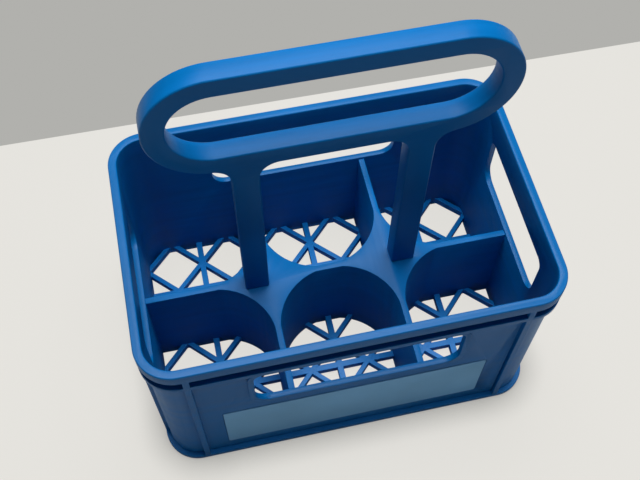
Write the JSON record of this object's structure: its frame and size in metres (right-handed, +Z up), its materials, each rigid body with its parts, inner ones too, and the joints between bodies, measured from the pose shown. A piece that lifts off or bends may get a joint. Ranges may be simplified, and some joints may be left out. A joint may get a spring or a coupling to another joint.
{
  "type": "six pack carrier",
  "caption": "Open crate-shaped bottle carrier with hand holes, a bottle divider on a lattice base, and a flat loop handle on two posts.",
  "frame": {"origin": "centre of the bottom face, on the surface the carrier stands on", "axes": "+X along the crate's length, -Y towards the front with the label plate, +Z up"},
  "size_m": [0.2382, 0.158, 0.2756],
  "materials": {
    "blue_print": "satin, fine layer lines",
    "label_print": "satin"
  },
  "bodies": {
    "crate": {"base_grid": "blue_print", "wall_shell": "blue_print", "rim_ring": "blue_print", "bottle_divider": "blue_print", "label_plate": "label_print"},
    "handle": {"carry_handle": "blue_print"}
  },
  "joints": [
    {"name": "handle_lift", "type": "slide", "parent": "crate", "child": "handle", "axis": [0, 0, 1], "range_m": [0, 0.045]}
  ]
}
